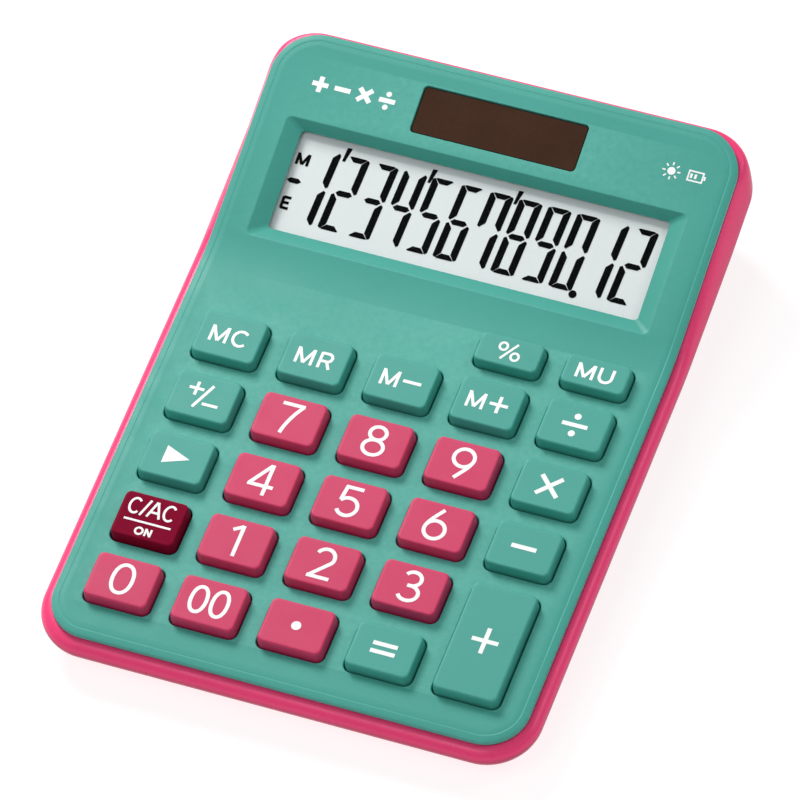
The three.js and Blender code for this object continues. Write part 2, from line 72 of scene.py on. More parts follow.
# ------------------------------------------------------------- mesh utilities
def outline(hx, y0, y1, rf, rb, seg=14, extra=()):
    pts = []

    def arc(cx, cy, r, a0):
        for i in range(seg + 1):
            a = a0 + math.pi / 2 * i / seg
            pts.append((cx + r * math.cos(a), cy + r * math.sin(a)))
    arc(hx - rf, y0 + rf, rf, -math.pi / 2)
    pts.extend((hx, y) for y in extra)
    arc(hx - rb, y1 - rb, rb, 0)
    arc(-hx + rb, y1 - rb, rb, math.pi / 2)
    pts.extend((-hx, y) for y in reversed(extra))
    arc(-hx + rf, y0 + rf, rf, math.pi)
    return pts


def rings_mesh(name, rings, start="ngon", end="ngon", flip=False):
    """Closed skin through rings of equal length; the ends are closed by one face or by rungs."""
    bm = bmesh.new()
    vs = [[bm.verts.new(p) for p in r] for r in rings]
    n = len(vs[0])
    for a, b in zip(vs, vs[1:]):
        for i in range(n):
            j = (i + 1) % n
            bm.faces.new((a[i], a[j], b[j], b[i]))

    def close(r, how, up):
        if how == "ngon":
            bm.faces.new(r if up else r[::-1])
        elif how == "rungs":
            for i in range(n // 2 - 1):
                q = (r[i], r[i + 1], r[n - 2 - i], r[n - 1 - i])
                bm.faces.new(q if up else q[::-1])
    close(vs[0], start, False)
    close(vs[-1], end, True)
    bmesh.ops.recalc_face_normals(bm, faces=bm.faces)
    if flip:
        bmesh.ops.reverse_faces(bm, faces=bm.faces)
    me = bpy.data.meshes.new(name)
    bm.to_mesh(me)
    bm.free()
    return me


def new_object(name, me):
    o = bpy.data.objects.new(name, me)
    scene.collection.objects.link(o)
    return o


def boolean(target, cutter, op):
    m = target.modifiers.new("b", "BOOLEAN")
    m.operation, m.object, m.solver = op, cutter, "EXACT"
    dg = bpy.context.evaluated_depsgraph_get()
    me = bpy.data.meshes.new_from_object(target.evaluated_get(dg))
    target.modifiers.clear()
    old = target.data
    target.data = me
    me.name = target.name
    bpy.data.meshes.remove(old)
    cm = cutter.data
    bpy.data.objects.remove(cutter)
    bpy.data.meshes.remove(cm)


def joined(name, meshes):
    bm = bmesh.new()
    for me in meshes:
        bm.from_mesh(me)
        bpy.data.meshes.remove(me)
    out = bpy.data.meshes.new(name)
    bm.to_mesh(out)
    bm.free()
    return new_object(name, out)


def smooth(o, angle=38, weighted=True):
    me = o.data
    me.polygons.foreach_set("use_smooth", [True] * len(me.polygons))
    me.set_sharp_from_angle(angle=math.radians(angle))
    if weighted:
        m = o.modifiers.new("wn", "WEIGHTED_NORMAL")
        m.keep_sharp, m.weight, m.mode = True, 90, "FACE_AREA"


def warp(o, fn):
    for v in o.data.vertices:
        v.co = fn(*v.co)
    o.data.update()


def rect_rings(x0, x1, y0, y1, r, levels, seg=6):
    """levels: (offset outwards, z)"""
    cx, cy, hx, hy = (x0 + x1) / 2, (y0 + y1) / 2, (x1 - x0) / 2, (y1 - y0) / 2
    out = []
    for d, z in levels:
        rr = max(r + d, 0.05)
        out.append([(x + cx, y + cy, z) for x, y in outline(hx + d, -hy - d, hy + d, rr, rr, seg)])
    return out


def disc_rings(cx, cy, levels, n=48):
    return [[(cx + r * math.cos(2 * math.pi * i / n), cy + r * math.sin(2 * math.pi * i / n), z) for i in range(n)]
            for r, z in levels]


def arc_levels(r, n, d0=0.0, z0=0.0, over=0.0):
    """Rounded-over edge for a cutter: from the wall up to the face at z0."""
    out = []
    for i in range(n + 1):
        a = math.pi / 2 * i / n
        out.append((d0 + r * (1 - math.cos(a)), z0 - r * (1 - math.sin(a))))
    out[-1] = (out[-1][0], z0 + 0.02)
    return out + [(out[-1][0] + over, z0 + 1.5)]


# ------------------------------------------------------------------ materials
def material(name, base, var=0.04, rough=0.4, rough_var=0.06, grain=0.35, bump=0.02, bump_scale=0.25,
             metallic=0.0, ior=1.46, coat=0.0, alpha=1.0, transmission=0.0, edge=0.0, edge_color=None,
             sub=0.0, dist=0.00004, spec=0.5, under=0.0):
    m = bpy.data.materials.new(name)
    m.use_nodes = True
    nt = m.node_tree
    nt.nodes.clear()
    N = nt.nodes.new
    L = nt.links.new
    out = N("ShaderNodeOutputMaterial")
    p = N("ShaderNodeBsdfPrincipled")
    L(p.outputs[0], out.inputs[0])
    tc = N("ShaderNodeTexCoord")

    def noise(scale_mm, detail=3.0, rough_=0.55):
        n = N("ShaderNodeTexNoise")
        n.inputs["Scale"].default_value = 1.0 / (scale_mm * MM)
        n.inputs["Detail"].default_value = detail
        n.inputs["Roughness"].default_value = rough_
        L(tc.outputs["Object"], n.inputs["Vector"])
        return n
    # broad, faint colour drift with a fine grain over it
    big, fine = noise(22, 3), noise(grain, 2)
    mix = N("ShaderNodeMath")
    mix.operation = "MULTIPLY_ADD"
    mix.inputs[1].default_value = 0.45
    L(fine.outputs["Fac"], mix.inputs[0])
    half = N("ShaderNodeMath")
    half.operation = "MULTIPLY"
    half.inputs[1].default_value = 0.55
    L(big.outputs["Fac"], half.inputs[0])
    L(half.outputs[0], mix.inputs[2])
    ramp = N("ShaderNodeValToRGB")
    ramp.color_ramp.elements[0].position = 0.36
    ramp.color_ramp.elements[1].position = 0.64
    ramp.color_ramp.elements[0].color = (*[max(c * (1 - var), 0) for c in base], 1)
    ramp.color_ramp.elements[1].color = (*[min(c * (1 + var), 1) for c in base], 1)
    L(mix.outputs[0], ramp.inputs[0])
    color = ramp.outputs[0]
    # lighter colour along convex edges: rubbed wear, and where the weight and edge colour are strong, as on the cover,
    # a painted highlight along the edges
    if edge:
        at = N("ShaderNodeAttribute")
        at.attribute_name = "edge"
        en = noise(1.3, 4, 0.6)
        em = N("ShaderNodeMath")
        em.operation = "MULTIPLY"
        L(at.outputs["Fac"], em.inputs[0])
        L(en.outputs["Fac"], em.inputs[1])
        es = N("ShaderNodeMath")
        es.operation = "MULTIPLY"
        es.inputs[1].default_value = edge
        L(em.outputs[0], es.inputs[0])
        mc = N("ShaderNodeMix")
        mc.data_type = "RGBA"
        L(es.outputs[0], mc.inputs["Factor"])
        L(color, mc.inputs[6])
        mc.inputs[7].default_value = (*(edge_color or [min(c * 1.5 + 0.05, 1) for c in base]), 1)
        color = mc.outputs[2]
    if under:
        # not a real mark on the plastic: a fixed shade by the tilt of the surface, darkest on upright
        # and overhanging skin, standing in for dark surroundings that this pale stage does not have
        ge = N("ShaderNodeNewGeometry")
        sx = N("ShaderNodeSeparateXYZ")
        L(ge.outputs["Normal"], sx.inputs[0])
        ur = N("ShaderNodeValToRGB")
        el = ur.color_ramp.elements
        el[0].position, el[0].color = 0.06, (0, 0, 0, 1)
        el[1].position, el[1].color = 0.72, (0, 0, 0, 1)
        for pos, c in ((0.14, 1.0), (0.52, 1.0), (0.60, 0.5)):
            e = el.new(pos)
            e.color = (c, c, c, 1)
        half_n = N("ShaderNodeMath")
        half_n.operation = "MULTIPLY_ADD"
        half_n.inputs[1].default_value = 0.5
        half_n.inputs[2].default_value = 0.5
        L(sx.outputs["Z"], half_n.inputs[0])
        L(half_n.outputs[0], ur.inputs[0])
        um = N("ShaderNodeMath")
        um.operation = "MULTIPLY"
        um.inputs[1].default_value = under
        L(ur.outputs[0], um.inputs[0])
        mu = N("ShaderNodeMix")
        mu.data_type = "RGBA"
        L(um.outputs[0], mu.inputs["Factor"])
        L(color, mu.inputs[6])
        mu.inputs[7].default_value = (base[0] * 0.30, base[1] * 0.22, base[2] * 0.25, 1)
        color = mu.outputs[2]
    L(color, p.inputs["Base Color"])
    rn = noise(6, 3)
    rr = N("ShaderNodeMapRange")
    rr.inputs["To Min"].default_value = max(rough - rough_var, 0.02)
    rr.inputs["To Max"].default_value = min(rough + rough_var, 1)
    rr.inputs["From Min"].default_value, rr.inputs["From Max"].default_value = 0.3, 0.7
    L(rn.outputs["Fac"], rr.inputs["Value"])
    L(rr.outputs[0], p.inputs["Roughness"])
    if bump:
        bn = noise(bump_scale, 2)
        b = N("ShaderNodeBump")
        b.inputs["Strength"].default_value = bump
        b.inputs["Distance"].default_value = dist
        L(bn.outputs["Fac"], b.inputs["Height"])
        L(b.outputs[0], p.inputs["Normal"])
    p.inputs["Metallic"].default_value = metallic
    p.inputs["IOR"].default_value = ior
    p.inputs["Specular IOR Level"].default_value = spec
    p.inputs["Coat Weight"].default_value = coat
    p.inputs["Alpha"].default_value = alpha
    p.inputs["Transmission Weight"].default_value = transmission
    if sub:
        p.inputs["Subsurface Weight"].default_value = sub
        p.inputs["Subsurface Radius"].default_value = (0.9, 0.5, 0.5)
        p.inputs["Subsurface Scale"].default_value = 0.0012
    return m


M = {
    # on the cover the strong edge weight and light edge colour are a painted highlight along its convex edges
    "cover": material("cover_teal", (0.052, 0.345, 0.284), var=0.035, rough=0.50, grain=0.30, bump=0.28, bump_scale=0.30, edge=0.8, edge_color=(0.16, 0.56, 0.48), spec=0.35),
    "case": material("case_pink", (0.950, 0.060, 0.205), var=0.04, rough=0.30, grain=0.30, bump=0.12, bump_scale=0.35, edge=0.2, spec=0.28, under=0.65),
    "teal": material("key_teal", (0.056, 0.355, 0.296), var=0.035, rough=0.48, grain=0.28, bump=0.22, bump_scale=0.28, edge=0.35, spec=0.4),
    "pink": material("key_pink", (0.610, 0.034, 0.122), var=0.04, rough=0.48, grain=0.28, bump=0.22, bump_scale=0.28, edge=0.35, spec=0.4),
    "crimson": material("key_crimson", (0.215, 0.0008, 0.024), var=0.06, rough=0.42, grain=0.28, bump=0.14, bump_scale=0.28, edge=0.3, spec=0.03),
    "ink": material("legend_white", (0.95, 0.97, 0.97), var=0.02, rough=0.5, grain=0.2, bump=0.1, bump_scale=0.12, spec=0.4),
    "panel": material("display_panel", (0.820, 0.880, 0.885), var=0.015, rough=0.5, grain=0.35, bump=0.05, bump_scale=0.2, spec=0.3),
    "seg": material("display_segment", (0.0012, 0.0014, 0.0014), var=0.3, rough=0.6, grain=0.2, bump=0.03, spec=0.02),
    "lens": material("clear_window", (0.04, 0.05, 0.05), var=0.05, rough=0.06, rough_var=0.02, grain=1.0, bump=0.01, bump_scale=3.0, alpha=0.025, spec=0.3),
    "smoke": material("smoked_window", (0.052, 0.0215, 0.011), var=0.10, rough=0.30, rough_var=0.05, grain=0.5, bump=0.04, bump_scale=0.6, spec=0.14),
    "solar": material("solar_cell", (0.03, 0.02, 0.02), var=0.2, rough=0.25, grain=0.6, bump=0.05),
    "foot": material("foot_rubber", (0.028, 0.028, 0.030), var=0.2, rough=0.85, grain=0.25, bump=0.5, bump_scale=0.22),
    "steel": material("screw_steel", (0.48, 0.49, 0.50), var=0.08, rough=0.34, rough_var=0.1, grain=0.2, bump=0.2, bump_scale=0.15, metallic=1.0),
    "nickel": material("battery_metal", (0.60, 0.58, 0.54), var=0.06, rough=0.28, rough_var=0.08, grain=0.3, bump=0.1, metallic=1.0),
    "silicone": material("silicone", (0.52, 0.54, 0.55), var=0.04, rough=0.7, grain=0.5, bump=0.2, bump_scale=0.4),
    "board": material("circuit_board", (0.03, 0.14, 0.05), var=0.12, rough=0.35, grain=0.4, bump=0.25, bump_scale=0.6),
    "resin": material("resin_black", (0.012, 0.012, 0.013), var=0.2, rough=0.3, grain=0.5, bump=0.2, bump_scale=1.2),
    "ribbon": material("ribbon", (0.42, 0.22, 0.05), var=0.1, rough=0.35, grain=0.4, bump=0.1),
    "red": material("wire_red", (0.38, 0.02, 0.02), var=0.1, rough=0.4, grain=0.3, bump=0.1),
    "black": material("wire_black", (0.015, 0.015, 0.016), var=0.2, rough=0.45, grain=0.3, bump=0.1),
}


def finish_piece(o, mat, node=None, body="case", ang=38, weighted=True):
    o.data.materials.clear()
    o.data.materials.append(M[mat])
    smooth(o, ang, weighted)
    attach(o, body)
    if node:
        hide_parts(*([node] if isinstance(node, str) else node))
    return o


def edge_attribute(o, radius_mm, ang=30):
    """Per-vertex weight of how convex the skin is there, for lightened edges: rubbed wear, and on the cover a painted
    highlight.
    """
    bm = bmesh.new()
    bm.from_mesh(o.data)
    bm.normal_update()
    val = [0.0] * len(bm.verts)
    for e in bm.edges:
        if len(e.link_faces) == 2 and e.is_convex:
            a = e.calc_face_angle(0.0)
            k = min(a / math.radians(ang), 1.0)
            for v in e.verts:
                val[v.index] = max(val[v.index], k)
    bm.free()
    at = o.data.attributes.new("edge", "FLOAT", "POINT")
    at.data.foreach_set("value", val)


# ------------------------------------------------------------------ top cover
SIDE = [-20, 0, 20, 36, FOLD - FOLD_A] + [FOLD - FOLD_A + 2 * FOLD_A * i / 12 for i in range(1, 12)] + [FOLD + FOLD_A, 66, 80]


def cover_ring(d, w):
    pts = outline(COVER_HALF - d, COVER_FRONT + d, COVER_BACK - d, max(8.9 - d, 1.0), max(9.9 - d, 1.0), 16, SIDE)
    return [(x, y, w) for x, y in pts]


def build_cover():
    levels = [(3.8, -1.8), (3.8, -4.15), (2.45, -4.15), (2.45, -1.5), (0.12, -1.5), (0.0, -1.40), (0.0, -0.66)]
    # upright edge, a small round, and a fine groove with a steep outer and a shallow inner wall
    for i in range(1, 6):
        a = math.radians(82) * i / 5
        levels.append((0.36 * (1 - math.cos(a)), -0.66 + 0.36 * math.sin(a)))
    levels += [(0.75, -0.185), (1.15, -0.12), (1.38, -0.09), (1.44, -0.10), (1.52, -0.135), (1.62, -0.135), (2.3, -0.03), (2.9, 0.0)]
    o = new_object("cover_shell", rings_mesh("cover_shell", [cover_ring(d, w) for d, w in levels], "rungs", "rungs"))
    boss = [rings_mesh("t", rect_rings(-46, 46, FOLD + 3.2, FOLD + 34, 0.4, [(0, -4.0), (0, -1.0)], 2)),
            rings_mesh("t", rect_rings(-21, 21, FOLD + 34.2, FOLD + 46.9, 0.4, [(0, -3.6), (0, -1.0)], 2))]
    boolean(o, joined("cut", boss), "UNION")
    cuts = []
    for _, c, y, hl in KEYS:
        x = (c - 2) * COL
        g = 0.32
        cuts.append(rings_mesh("t", rect_rings(x - KEY_W / 2 - g, x + KEY_W / 2 + g, y - hl - g, y + hl + g, KEY_R + g,
                                               [(0, -4.5)] + arc_levels(0.28, 5), 8)))
    # sloped frame of the display, its outer edge slightly softened
    def rect(h, v0, v1, r, w):
        return [(x, y, w) for x, y in outline(h, v0, v1, r, r, 6)]
    bez = [rect(LCD_HALF, LCD_V0, LCD_V1, 0.8, -BEZ_D), rect(BEZ_HALF - 0.24, BEZ_V0 + 0.21, BEZ_V1 - 0.13, 1.15, -0.12),
           rect(BEZ_HALF - 0.03, BEZ_V0 + 0.03, BEZ_V1 - 0.02, 1.2, -0.035), rect(BEZ_HALF + 0.16, BEZ_V0 - 0.16, BEZ_V1 + 0.14, 1.25, 0.0),
           rect(BEZ_HALF + 0.3, BEZ_V0 - 0.3, BEZ_V1 + 0.3, 1.3, 0.05), rect(BEZ_HALF + 0.5, BEZ_V0 - 0.5, BEZ_V1 + 0.5, 1.4, 1.5)]
    cuts.append(rings_mesh("t", bez))
    cuts.append(rings_mesh("t", rect_rings(-SOL_HALF, SOL_HALF, SOL_V0, SOL_V1, 0.9, [(0, -4.5)] + arc_levels(0.22, 4), 8)))
    boolean(o, joined("cut", cuts), "DIFFERENCE")
    boolean(o, joined("cut", [rings_mesh("t", rect_rings(-LCD_HALF, LCD_HALF, LCD_V0, LCD_V1, 0.9, [(0, -3.2), (0, -1.76), (-0.001, -1.5)], 8))]), "DIFFERENCE")
    pockets = [rings_mesh("t", rect_rings(-42.6, 42.6, FOLD + 5.6, FOLD + 32.3, 0.3, [(0, -5), (0, -2.2)], 2)),
               rings_mesh("t", rect_rings(-19.6, 19.6, FOLD + 34.45, FOLD + 46.2, 0.3, [(0, -5), (0, -1.4)], 2))]
    boolean(o, joined("cut", pockets), "DIFFERENCE")
    warp(o, bend)
    edge_attribute(o, 0.3)
    return finish_piece(o, "cover", "top_cover")


KEYS = []
for name, c, r in (("key_memory_clear", 0, 1), ("key_memory_recall", 1, 1), ("key_memory_minus", 2, 1), ("key_memory_plus", 3, 1),
                   ("key_divide", 4, 1), ("key_sign", 0, 2), ("key_7", 1, 2), ("key_8", 2, 2), ("key_9", 3, 2), ("key_multiply", 4, 2),
                   ("key_backspace", 0, 3), ("key_4", 1, 3), ("key_5", 2, 3), ("key_6", 3, 3), ("key_minus", 4, 3),
                   ("key_clear_on", 0, 4), ("key_1", 1, 4), ("key_2", 2, 4), ("key_3", 3, 4),
                   ("key_0", 0, 5), ("key_00", 1, 5), ("key_point", 2, 5), ("key_equals", 3, 5)):
    KEYS.append((name, c, (3 - r) * ROW + KEYS_Y, KEY_L / 2))
KEYS += [("key_percent", 3, ROW0, KEY_L0 / 2), ("key_markup", 4, ROW0, KEY_L0 / 2), ("key_plus", 4, -1.5 * ROW + KEYS_Y, (KEY_L + ROW) / 2)]
PINKS = {"key_7", "key_8", "key_9", "key_4", "key_5", "key_6", "key_1", "key_2", "key_3", "key_0", "key_00", "key_point"}


def build_key(name, c, y, hl):
    x = (c - 2) * COL
    top = KEY_H
    lv = [(0.0, -2.1), (0.0, 0.0), (-0.20, top - 0.55)]
    r = 0.46
    for i in range(1, 7):
        a = math.pi / 2 * i / 6
        lv.append((-0.20 - r * (1 - math.cos(a)), top - 0.55 + 0.55 * math.sin(a)))
    lv[-1] = (lv[-1][0], top)
    lv.append((lv[-1][0] - 0.5, top))
    rings = rect_rings(x - KEY_W / 2, x + KEY_W / 2, y - hl, y + hl, KEY_R, lv, 8)
    inner = rect_rings(x - KEY_W / 2 + 1.4, x + KEY_W / 2 - 1.4, y - hl + 1.4, y + hl - 1.4, 0.6, [(0, 0.9), (0, -2.9)], 8)
    flange = rect_rings(x - KEY_W / 2 - 0.7, x + KEY_W / 2 + 0.7, y - hl - 0.7, y + hl + 0.7, 0.8, [(0, -2.9), (0, -2.1)], 8)
    o = new_object("cap_" + name[4:], rings_mesh("t", inner + flange + rings))
    warp(o, kpad)
    edge_attribute(o, 0.3)
    mat = "crimson" if name == "key_clear_on" else "pink" if name in PINKS else "teal"
    return finish_piece(o, mat, name, name, ang=40)


# ---------------------------------------------------------------- bottom case
def smoothstep(x, a, b):
    t = min(max((x - a) / (b - a), 0), 1)
    return t * t * (3 - 2 * t)


FEET = {"foot_front_left": (-40, -60), "foot_front_right": (40, -60), "foot_back_left": (-40, 51), "foot_back_right": (40, 51)}
PF, PB = (-1.5 * ROW + KEYS_Y) * ca + Y0, (37.3 + KEYS_Y) * ca + Y0
POSTS = [(-1.5 * COL, PF), (27.7, PF), (-1.5 * COL, PB), (1.5 * COL, PB), (-38, 60.5), (38, 60.5)]
BAT = (-14, 46, 14, 10)


def build_case():
    seg = 16
    back = FOLD + (73.5 - (FOLD * ca + Y0) - 7.45 * math.sin(ALPHA + DELTA)) / math.cos(ALPHA + DELTA)
    rim = outline(WIDTH / 2, RIM_FRONT, back, 11.2, 10.3, seg, SIDE)

    def seam(d, w, out=0.0):
        """Ring beside the cover's edge; out lets the back edge stand out further."""
        pts = outline(COVER_HALF - d, COVER_FRONT + d, COVER_BACK - d + out, max(8.9 - d, 1), max(9.9 - d, 1), seg, SIDE)
        return [bend(x, s, w) / MM for x, s in pts]
    wide = [bend(x, s, -(RIM_DEPTH + 3.4 * smoothstep(s, FOLD - 8, FOLD + 38))) / MM for x, s in rim]

    def plan(d, z):
        """The widest line drawn in by d, level at z."""
        out = []
        n = len(wide)
        for i in range(n):
            a, b = wide[(i - 1) % n], wide[(i + 1) % n]
            t = Vector((b.x - a.x, b.y - a.y, 0)).normalized()
            out.append(Vector((wide[i].x - t.y * d, wide[i].y + t.x * d, z)))
        return out

    def lerp(a, b, t):
        return a + (b - a) * t
    s0 = seam(-0.10, -1.72, 0.42)
    # side wall: (drawn in, share of the height to the widest line) or depth under it
    curve = [(6.5, 0.0, None), (5.85, 0.09, None), (5.2, 0.2, None), (4.55, 0.30, None), (3.8, 0.4, None), (2.9, 0.52, None),
             (1.3, None, 2.4), (0.72, None, 1.75), (0.33, None, 1.2), (0.12, None, 0.7), (0.03, None, 0.3)]
    rings = []
    for i in range(5):                           # rounded lower edge
        a = math.pi / 2 * i / 5
        rings.append(plan(6.5 + 0.9 * (1 - math.sin(a)), 1.0 + 0.5 * (1 - math.cos(a))))
    for d, share, under in curve:
        ring = plan(d, 0)
        for q, wv in zip(ring, wide):
            q.z = wv.z - under if under is not None else 1.5 + (wv.z - 1.5) * share
        rings.append(ring)
    # no ring may dip under the one before it where the wall is low
    for lo_r, hi_r in zip(rings, rings[1:]):
        for a, b in zip(lo_r, hi_r):
            b.z = max(b.z, a.z + 0.02)
    rings.append([v.copy() for v in wide])
    # shoulder from the widest line in to the seam: round beside the keys, straighter beside the
    # display, tight along the back
    for i in range(1, 13):
        a = math.pi / 2 * i / 13
        out = []
        for wv, sv in zip(wide, s0):
            side = smoothstep(wv.y, 17, 58) * (1 - smoothstep(wv.y, 61, 71))
            tail = smoothstep(wv.y, 61, 72.5)
            h, k = 1 - math.cos(a), math.sin(a)
            if tail:
                h2, k2 = (1 - math.cos(a)) ** 1.9, math.sin(a) ** 0.75
                h, k = lerp(h, h2, tail), lerp(k, k2, tail)
            u = i / 13
            h, k = lerp(h, u ** 1.05, 0.85 * side), lerp(k, u, 0.85 * side)
            out.append(Vector((lerp(wv.x, sv.x, h), lerp(wv.y, sv.y, h), lerp(wv.z, sv.z, k))))
        rings.append(out)
    rings.append(s0)
    rings.append(seam(0.12, -1.75, 0.3))
    rings.append(seam(1.9, -1.78))
    # inner wall and floor
    s19 = rings[-1]
    inner = [Vector((v.x * 0.961, v.y * 0.972, v.z)) for v in wide]
    rings.append([Vector((lerp(a.x, b.x, 0.75), lerp(a.y, b.y, 0.75), lerp(a.z, b.z, 0.8))) for a, b in zip(s19, inner)])
    rings.append(plan(7.0, 5.0))
    rings.append(plan(8.2, 2.5))
    o = new_object("case_shell", rings_mesh("case_shell", rings, "ngon", "ngon"))
    ups = [rings_mesh("t", disc_rings(x, y, [(2.8, 1.6), (2.8, 5.7)], 32)) for x, y in POSTS]
    bx, by, bhx, bhy = BAT
    ups.append(rings_mesh("t", rect_rings(bx - bhx - 1.5, bx + bhx + 1.5, by - bhy - 1.5, by + bhy + 1.5, 0.6, [(0, 1.6), (0, 11)], 4)))
    boolean(o, joined("cut", ups), "UNION")

    cuts = []
    for x, y in FEET.values():
        cuts.append(rings_mesh("t", disc_rings(x, y, [(5.75, -0.5), (5.75, 0.98), (5.55, 1.08), (5.4, 1.25), (5.3, 1.8)], 64)))
    for x, y in POSTS:
        cuts.append(rings_mesh("t", disc_rings(x, y, [(2.9, -0.5), (2.9, 0.98), (2.6, 1.1), (2.45, 1.3), (2.4, 3.95), (1.3, 4.0), (1.3, 7)], 48)))
    cuts.append(rings_mesh("t", rect_rings(bx - bhx, bx + bhx, by - bhy, by + bhy, 1.0, [(0.3, -0.5), (0.3, 0.98), (0.08, 1.08), (0, 1.3), (0, 2.5)], 8)))
    boolean(o, joined("cut", cuts), "DIFFERENCE")
    boolean(o, joined("cut", [rings_mesh("t", rect_rings(bx - bhx + 1.2, bx + bhx - 1.2, by - bhy + 1.2, by + bhy - 1.2, 0.6, [(0, 0), (0, 9.8)], 4))]), "DIFFERENCE")
    warp(o, lambda x, y, z: Vector((x, y, z)) * MM)
    edge_attribute(o, 0.3)
    return finish_piece(o, "case", "bottom_case", ang=35)


cover = build_cover()
case = build_case()
caps = {k[0]: build_key(*k) for k in KEYS}


# -------------------------------------------------------------------- legends
def flat_polys(name, polys, place, thick=0.03):
    """Thin printed shapes from outlines in a plane; place maps (x, y, z) in mm to the row frame."""
    bm = bmesh.new()
    for poly in polys:
        lo = [bm.verts.new(place(x, y, 0.0)) for x, y in poly]
        hi = [bm.verts.new(place(x, y, thick)) for x, y in poly]
        n = len(poly)
        area = sum(poly[i][0] * poly[(i + 1) % n][1] - poly[(i + 1) % n][0] * poly[i][1] for i in range(n))
        if area < 0:
            lo, hi = lo[::-1], hi[::-1]
        bm.faces.new(hi)
        bm.faces.new(lo[::-1])
        for i in range(n):
            j = (i + 1) % n
            bm.faces.new((lo[i], lo[j], hi[j], hi[i]))
    me = bpy.data.meshes.new(name)
    bm.to_mesh(me)
    bm.free()
    return new_object(name, me)


def circle(cx, cy, r, n=24):
    return [(cx + r * math.cos(2 * math.pi * i / n), cy + r * math.sin(2 * math.pi * i / n)) for i in range(n)]


def bar(x0, y0, x1, y1, w):
    d = Vector((x1 - x0, y1 - y0)).normalized()
    n = Vector((-d.y, d.x)) * w / 2
    return [(x0 - n.x, y0 - n.y), (x1 - n.x, y1 - n.y), (x1 + n.x, y1 + n.y), (x0 + n.x, y0 + n.y)]


def ribbon(name, lines, width, place, z0=0.0, thick=0.03):
    """Strokes of even width along polylines; a closed line repeats its first point at the end."""
    bm = bmesh.new()
    for k, pts in enumerate(lines):
        pts = [Vector(p) for p in pts]
        closed = (pts[0] - pts[-1]).length < 1e-6
        if closed:
            pts = pts[:-1]
        n = len(pts)
        L, R = [], []
        for i in range(n):
            a = pts[i] - pts[i - 1] if (i > 0 or closed) else pts[1] - pts[0]
            b = pts[(i + 1) % n] - pts[i] if (i < n - 1 or closed) else pts[-1] - pts[-2]
            a.normalize()
            b.normalize()
            t = (a + b).normalized()
            m = Vector((-t.y, t.x))
            c = max(m.dot(Vector((-a.y, a.x))), 0.5)
            L.append(pts[i] + m * width / 2 / c)
            R.append(pts[i] - m * width / 2 / c)
        z = z0 + 0.004 * k
        lo = [(bm.verts.new(place(l.x, l.y, z)), bm.verts.new(place(r.x, r.y, z))) for l, r in zip(L, R)]
        hi = [(bm.verts.new(place(l.x, l.y, z + thick)), bm.verts.new(place(r.x, r.y, z + thick))) for l, r in zip(L, R)]
        for i in range(n if closed else n - 1):
            j = (i + 1) % n
            bm.faces.new((hi[i][0], hi[i][1], hi[j][1], hi[j][0]))
            bm.faces.new((lo[i][1], lo[i][0], lo[j][0], lo[j][1]))
            bm.faces.new((lo[i][0], hi[i][0], hi[j][0], lo[j][0]))
            bm.faces.new((hi[i][1], lo[i][1], lo[j][1], hi[j][1]))
        if not closed:
            bm.faces.new((lo[0][0], lo[0][1], hi[0][1], hi[0][0]))
            bm.faces.new((lo[-1][1], lo[-1][0], hi[-1][0], hi[-1][1]))
    bmesh.ops.recalc_face_normals(bm, faces=bm.faces)
    me = bpy.data.meshes.new(name)
    bm.to_mesh(me)
    bm.free()
    return new_object(name, me)


def sweep(cx, cy, rx, ry, a0, a1, n=20, power=1.0):
    """Arc of an ellipse, degrees; power under 1 squares it off."""
    out = []
    for i in range(n + 1):
        a = math.radians(a0 + (a1 - a0) * i / n)
        c, s = math.cos(a), math.sin(a)
        out.append((cx + rx * math.copysign(abs(c) ** power, c), cy + ry * math.copysign(abs(s) ** power, s)))
    if abs(abs(a1 - a0) - 360) < 1e-6:
        out[-1] = out[0]
    return out


def bezier(p0, p1, p2, p3, n=12):
    out = []
    for i in range(n + 1):
        t = i / n
        k = ((1 - t) ** 3, 3 * t * (1 - t) ** 2, 3 * t * t * (1 - t), t ** 3)
        out.append(tuple(sum(c * q[j] for c, q in zip(k, (p0, p1, p2, p3))) for j in range(2)))
    return out


SIX = [sweep(0, -1.2, 2.15, 2.1, 180, -180, 32), bezier((0.62, 3.72), (-0.55, 2.1), (-2.1, 0.35), (-2.15, -1.2), 12)]
DIGITS = {                                       # centre lines, millimetres from the middle of the key
    "0": [sweep(0, 0.1, 2.1, 3.3, 90, 450, 40, 0.92)],
    "1": [[(-1.45, 2.35), (0.0, 3.2), (0.5, 3.55)], [(0.5, 3.72), (0.5, -3.62)]],
    "2": [sweep(0.05, 1.5, 1.93, 1.93, 158, -32, 20) + [(-1.95, -3.2)], [(-2.35, -3.24), (2.4, -3.24)]],
    "3": [sweep(0.0, 1.82, 1.75, 1.6, 152, -90, 22), [(-0.7, 0.22), (0.05, 0.22)], sweep(0.05, -1.52, 2.08, 1.74, 90, -155, 24)],
    "4": [[(0.98, 3.6), (-2.4, -1.42)], [(-2.75, -1.45), (2.75, -1.45)], [(1.15, 3.78), (1.15, -3.62)]],
    "5": [[(-1.75, 3.38), (2.05, 3.38)], [(-1.42, 3.6), (-1.86, 0.15)], sweep(-0.05, -1.15, 2.13, 2.07, 146, -152, 26)],
    "6": SIX,
    "7": [[(-2.4, 3.36), (2.35, 3.36)], [(2.1, 3.4)] + bezier((2.0, 3.2), (0.9, 1.6), (-0.35, -0.9), (-0.75, -3.62), 12)],
    "8": [sweep(0, 1.85, 1.72, 1.55, 90, 450, 32), sweep(0, -1.55, 2.13, 1.78, 90, 450, 36)],
    "9": [[(-x, -y + 0.15) for x, y in l] for l in SIX],
}
